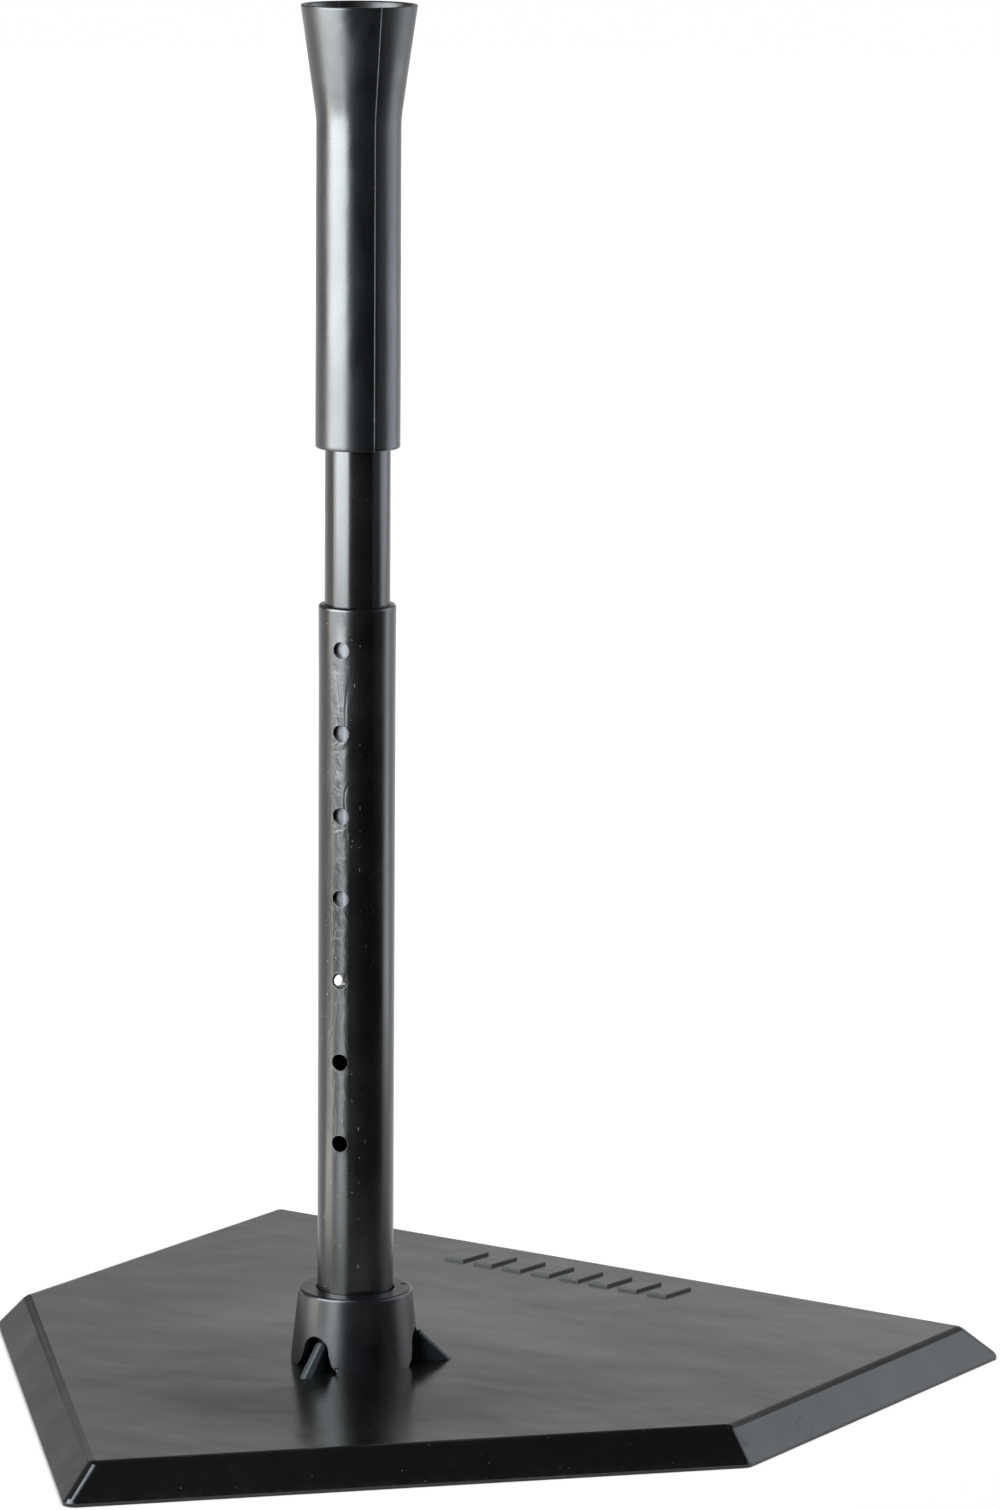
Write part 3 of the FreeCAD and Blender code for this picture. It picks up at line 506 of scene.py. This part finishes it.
def sleeve_outline():
    """The sleeve's section as (radius, height, how much it shows the mould's marks)."""
    low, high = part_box("ball_sleeve")
    foot, rim = low.z, high.z
    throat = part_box("upper_tube")[1].z
    foot_radius, grip_radius, rim_radius = 19.6 * MM, 19.4 * MM, 26.7 * MM
    mouth_radius, throat_radius = 24.85 * MM, 13.2 * MM
    bore_radius, foot_bore = 15.22 * MM, 18.35 * MM
    # the bore is wider below this height, so that it passes over the lower tube
    step = foot + 7.0 * MM
    foot_round, rim_round, flare_blend = 1.1 * MM, 0.75 * MM, 3.5 * MM
    wall_steps, cup_steps = 46, 6

    def outside(height):
        """Radius of the outer wall, with a short blend where the grip turns into the flare."""
        grip = foot_radius + (grip_radius - foot_radius) * (height - foot) / (FLARE_FOOT - foot)
        slope = (rim_radius - grip_radius) / (rim - FLARE_FOOT)
        past = height - FLARE_FOOT
        if past <= -flare_blend:
            return grip
        if past >= flare_blend:
            return grip_radius + slope * past
        return min(grip, grip_radius) + slope * (past + flare_blend) ** 2 / (4 * flare_blend)

    def corner(place, before, after, radius, marked):
        """A rounded corner of the section."""
        return [(point.x, point.y, marked) for point in rounded(place, before, after, radius)]

    section = corner((foot_radius, foot), (foot_bore, foot), (foot_radius, foot + 5 * MM),
                     foot_round, 0.0)
    start, end = foot + 2 * foot_round, rim - 1.4 * MM
    for place in range(wall_steps + 1):
        height = start + (end - start) * place / wall_steps
        section.append((outside(height), height, 1.0))
    inner_end = (throat_radius, throat + 3.8 * MM)
    section += corner((rim_radius, rim), (outside(end), end), (mouth_radius, rim), rim_round, 0.3)
    section += corner((mouth_radius, rim), (rim_radius, rim), inner_end, rim_round, 0.0)
    for place in range(1, cup_steps):
        share = place / cup_steps
        section.append((mouth_radius + (throat_radius - mouth_radius) * share,
                        rim + (inner_end[1] - rim) * share, 0.0))
    section += [(*inner_end, 0.0), (throat_radius, throat, 0.0), (bore_radius, throat, 0.0),
                (bore_radius, step, 0.0), (foot_bore, step, 0.0), (foot_bore, foot, 0.0)]
    return section


def add_sleeve(material):
    """The moulded sleeve: raised seam on both sides, soft edges and a slightly uneven wall."""
    even_turns, seam_offsets = 160, (-1.6, -0.9, -0.5, -0.2, 0, 0.2, 0.5, 0.9, 1.6)
    clear_of_seam, seam_half_width, seam_height = 2.0, 0.8, 0.14 * MM
    wave_depth, ripple_depth, ripple_scale = 0.10 * MM, 0.05 * MM, 2.7
    around_scale, up_scale = 0.8, 26.0

    def apart(turn, seam):
        """Degrees between a direction and a seam."""
        return abs((turn - seam + 180) % 360 - 180)

    turns = {round(360.0 * place / even_turns, 3) for place in range(even_turns)}
    for seam in SEAM_TURNS:
        turns = {turn for turn in turns if apart(turn, seam) > clear_of_seam}
        turns |= {round((seam + offset) % 360, 3) for offset in seam_offsets}
    rows = []
    for radius, height, marked in sleeve_outline():
        row = []
        for turn in sorted(turns):
            ray = Vector((math.cos(math.radians(turn)), math.sin(math.radians(turn)), 0))
            off_seam = min(apart(turn, seam) for seam in SEAM_TURNS)
            ridge = seam_height * max(0.0, 1 - off_seam / seam_half_width)
            at = Vector((ray.x * around_scale, ray.y * around_scale, height * up_scale))
            uneven = wave_depth * noise.noise(at)
            uneven += ripple_depth * noise.noise(at * ripple_scale)
            reach = radius + marked * (ridge + uneven)
            row.append(Vector((POST_X, POST_Y, height)) + ray * reach)
        rows.append(row)
    mesh = bmesh.new()
    add_closed_rings(mesh, rows)
    data = finished(mesh, "ball_sleeve_moulded")
    piece = new_piece("ball_sleeve_moulded", data, material)
    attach(piece, "upper_post")
    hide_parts("ball_sleeve")


def add_hole_burrs(material):
    """The low rolled burr that drilling leaves round each height hole."""
    mesh = bmesh.new()
    wire, turns, around = 0.17 * MM, 40, 8
    flatness, unevenness, uneven_scale = 0.75, 0.35, 900.0
    radius = HOLE_RADIUS + 0.12 * MM
    for hole in range(HOLE_COUNT):
        middle = LOWEST_HOLE + hole * HOLE_PITCH
        rings = []
        for turn in range(turns):
            angle = 2 * math.pi * turn / turns
            across, up = radius * math.cos(angle), radius * math.sin(angle)
            depth = math.sqrt(LOWER_RADIUS ** 2 - across ** 2)
            centre = Vector((POST_X, POST_Y, middle + up))
            centre = centre + HOLE_SIDE * depth + HOLE_ACROSS * across
            outward = (HOLE_SIDE * depth + HOLE_ACROSS * across).normalized()
            away = (HOLE_ACROSS * math.cos(angle) + Vector((0, 0, math.sin(angle)))).normalized()
            thick = wire * (1.0 + unevenness * noise.noise(centre * uneven_scale))
            ring = []
            for step in range(around):
                turned = 2 * math.pi * step / around
                ring.append(centre + outward * (thick * flatness * math.sin(turned))
                            + away * (thick * math.cos(turned)))
            rings.append(ring)
        add_closed_rings(mesh, rings)
    data = finished(mesh, "hole_burrs")
    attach(new_piece("hole_burrs", data, material), "stand")


def add_leaf_spring(material):
    """The leaf spring, a copy of the CAD spring's mesh shown in its place."""
    data = nodes["snap_spring"].data.copy()
    data.transform(nodes["snap_spring"].matrix_world)
    piece = new_piece("leaf_spring", data, material)
    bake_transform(piece)
    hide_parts("snap_spring")


def add_pieces():
    """The pieces that stand for soft or plain CAD solids, and the small ones beside them."""
    add_sleeve(sleeve_rubber())
    add_hole_burrs(nodes["lower_tube"].data.materials[0])
    add_leaf_spring(steel("spring_steel", (0.45, 0.45, 0.46), 0.3))


# ---------------------------------------------------------------- studio

CAMERA_PLACE = Vector((1.7318, -2.4902, 0.8469))
CAMERA_YAW, CAMERA_PITCH, CAMERA_ROLL = 33.63, 10.105, 0.4
CAMERA_LENS = 158.2
# the direction from the tee to the camera, in degrees from +X
CAMERA_SIDE = CAMERA_YAW - 90.0
COOL, WARM, BLUE = (0.93, 1.0, 1.03), (1.0, 0.96, 0.84), (0.9, 0.98, 1.07)


def add_camera():
    """The camera at the photograph's angle."""
    data = bpy.data.cameras.new("camera")
    data.lens = CAMERA_LENS
    data.sensor_width = 36.0
    data.clip_start, data.clip_end = 0.1, 60.0
    camera = bpy.data.objects.new("camera", data)
    bpy.context.scene.collection.objects.link(camera)
    yaw, pitch, roll = (math.radians(turn) for turn in (CAMERA_YAW, CAMERA_PITCH, CAMERA_ROLL))
    turn = Matrix.Rotation(yaw, 4, "Z") @ Matrix.Rotation(math.pi / 2 - pitch, 4, "X")
    turn = turn @ Matrix.Rotation(roll, 4, "Z")
    camera.matrix_world = Matrix.Translation(CAMERA_PLACE) @ turn
    bpy.context.scene.camera = camera


def from_camera(side, distance, height=0.0):
    """A place round the post. side is degrees from the camera's direction, to picture right."""
    angle = math.radians(CAMERA_SIDE + side)
    out = Vector((math.cos(angle), math.sin(angle), 0))
    return Vector((POST_X, POST_Y, height)) + out * distance


def new_light(name, kind, power, lit, colour=(1, 1, 1)):
    """A light that the camera doesn't see and that shines on one collection only."""
    data = bpy.data.lights.new(name, kind)
    data.energy = power
    data.color = colour
    light = bpy.data.objects.new(name, data)
    bpy.context.scene.collection.objects.link(light)
    light.visible_camera = False
    light.light_linking.receiver_collection = lit
    return light


def add_softbox(name, lit, side, distance, height, width, tall, power, aim, colour):
    """A rectangular light beside the tee, facing a height on the post's axis."""
    light = new_light(name, "AREA", power, lit, colour)
    light.data.shape = "RECTANGLE"
    light.data.size, light.data.size_y = width, tall
    light.location = from_camera(side, distance, height)
    facing = Vector((POST_X, POST_Y, aim)) - light.location
    light.rotation_euler = facing.to_track_quat("-Z", "Y").to_euler()


def add_floor_strip(name, lit, side, near, far, width, power, colour):
    """A low strip light that lies on the floor, pointing away from the post, and shines up."""
    light = new_light(name, "AREA", power, lit, colour)
    light.data.shape = "RECTANGLE"
    light.data.size, light.data.size_y = far - near, width
    light.location = from_camera(side, (near + far) / 2, 0.01)
    light.rotation_euler = (math.pi, 0, math.radians(CAMERA_SIDE + side))


def add_floor(lit):
    """A plain pale floor, a table top that ends a little way in front of the tee."""
    data = bpy.data.meshes.new("floor")
    forward, right = (from_camera(side, 1) - from_camera(0, 0) for side in (0, 90))
    # the front edge steps back towards the picture's right
    front_edge = ((0.27, -7.0), (0.27, 0.12), (0.02, 0.42), (-0.3, 7.0))
    back_edge = ((-9.0, 7.0), (-9.0, -7.0))
    corners = [from_camera(0, 0) + forward * along + right * across
               for along, across in front_edge + back_edge]
    data.from_pydata(corners, [], [tuple(range(len(corners)))])
    floor = bpy.data.objects.new("floor", data)
    bpy.context.scene.collection.objects.link(floor)
    lit.objects.link(floor)
    n = Nodes("floor_paint")
    n.set(Base_Color=(0.9, 0.9, 0.9, 1.0), Roughness=0.9)
    data.materials.append(n.material)


def add_world():
    """A pale room that the camera sees as white, dark on the camera's side and overhead."""
    world = bpy.data.worlds.new("room")
    bpy.context.scene.world = world
    world.use_nodes = True
    tree = world.node_tree
    background = tree.nodes["Background"]
    background.inputs["Color"].default_value = (1.0, 1.0, 1.0, 1.0)

    def math_node(operation, first, second):
        """One maths node."""
        node = tree.nodes.new("ShaderNodeMath")
        node.operation = operation
        for socket, value in zip(node.inputs, (first, second)):
            if isinstance(value, bpy.types.NodeSocket):
                tree.links.new(value, socket)
            else:
                socket.default_value = value
        return node.outputs[0]

    def step(value, low, high, to_low, to_high):
        """A smooth step from one level to another."""
        node = tree.nodes.new("ShaderNodeMapRange")
        node.interpolation_type = "SMOOTHSTEP"
        tree.links.new(value, node.inputs["Value"])
        ends = {"From Min": low, "From Max": high, "To Min": to_low, "To Max": to_high}
        for socket, number in ends.items():
            node.inputs[socket].default_value = number
        return node.outputs["Result"]

    direction = tree.nodes.new("ShaderNodeTexCoord").outputs["Generated"]
    parts = tree.nodes.new("ShaderNodeSeparateXYZ")
    tree.links.new(direction, parts.inputs[0])
    east, north, up = parts.outputs
    angle = math.radians(CAMERA_SIDE)
    towards_camera = math_node("ADD", math_node("MULTIPLY", east, math.cos(angle)),
                               math_node("MULTIPLY", north, math.sin(angle)))
    behind = step(towards_camera, -0.25, 0.1, 1.0, 0.0)
    to_right = math_node("ADD", math_node("MULTIPLY", east, -math.sin(angle)),
                         math_node("MULTIPLY", north, math.cos(angle)))
    # the room is brighter to the picture's right than to its left
    right_wall = step(to_right, -0.12, 0.14, 0.86, 1.3)
    left_wall = step(to_right, -0.42, -0.06, 0.55, 1.0)
    sideways = math_node("MULTIPLY", right_wall, left_wall)
    wall = step(up, 0.22, 0.5, 0.62, 0.26)
    ceiling = step(up, 0.62, 0.85, 1.0, 0.03)
    glow = math_node("MULTIPLY", math_node("MULTIPLY", wall, ceiling),
                     math_node("MULTIPLY", behind, sideways))
    glow = math_node("ADD", glow, 0.02)
    camera_ray = tree.nodes.new("ShaderNodeLightPath").outputs["Is Camera Ray"]
    strength = math_node("MAXIMUM", glow, camera_ray)
    tree.links.new(strength, background.inputs["Strength"])


def light_studio():
    """Softboxes, floor, room and camera."""
    tee = bpy.data.collections.new("lit_tee")
    post = bpy.data.collections.new("lit_post")
    foot = bpy.data.collections.new("lit_foot")
    low = [nodes[name] for name in ("base", "post_socket", "collar")]
    for thing in bpy.data.objects:
        if thing.type == "MESH":
            tee.objects.link(thing)
            (foot if thing in low else post).objects.link(thing)
    ground = bpy.data.collections.new("lit_floor")
    add_floor(ground)
    # left of the picture: the key light, and a warm one beside it
    add_softbox("key_softbox", post, side=-56.0, distance=1.3, height=0.7,
                width=1.32, tall=1.1, power=106.0, aim=0.4, colour=COOL)
    add_softbox("warm_softbox", post, side=-87.0, distance=1.3, height=0.7,
                width=0.18, tall=1.1, power=7.5, aim=0.4, colour=WARM)
    add_softbox("low_key_softbox", foot, side=-57.0, distance=1.3, height=0.7,
                width=1.32, tall=1.1, power=46.0, aim=0.4, colour=COOL)
    # right of the picture: weaker, bluer light
    add_softbox("side_fill", tee, side=67.0, distance=1.6, height=0.8,
                width=0.7, tall=1.4, power=1.8, aim=0.4, colour=BLUE)
    add_softbox("side_softbox", post, side=104.0, distance=1.6, height=0.8,
                width=1.3, tall=1.4, power=15.0, aim=0.4, colour=BLUE)
    add_softbox("low_side_softbox", foot, side=104.0, distance=1.6, height=0.8,
                width=1.3, tall=1.4, power=8.2, aim=0.4, colour=BLUE)
    # from above, for the plate and collar only
    add_softbox("high_softbox", foot, side=-52.0, distance=0.9, height=1.6,
                width=0.7, tall=0.7, power=15.0, aim=0.0, colour=BLUE)
    # light thrown up by the pale table on each side
    add_floor_strip("left_strip", tee, side=-84.5, near=0.3, far=2.4,
                    width=0.21, power=8.6, colour=WARM)
    add_floor_strip("front_strip", tee, side=-42.0, near=0.3, far=2.2,
                    width=0.2, power=9.5, colour=COOL)
    add_floor_strip("right_strip", tee, side=104.0, near=0.75, far=2.4,
                    width=0.4, power=7.0, colour=BLUE)
    sky = new_light("floor_sky", "SUN", 3.5, ground)
    sky.data.angle = 1.6
    add_world()
    bpy.context.scene.view_settings.view_transform = "Standard"
    add_camera()


# ---------------------------------------------------------------- the whole scene

finish_cad_nodes()
add_pieces()
light_studio()
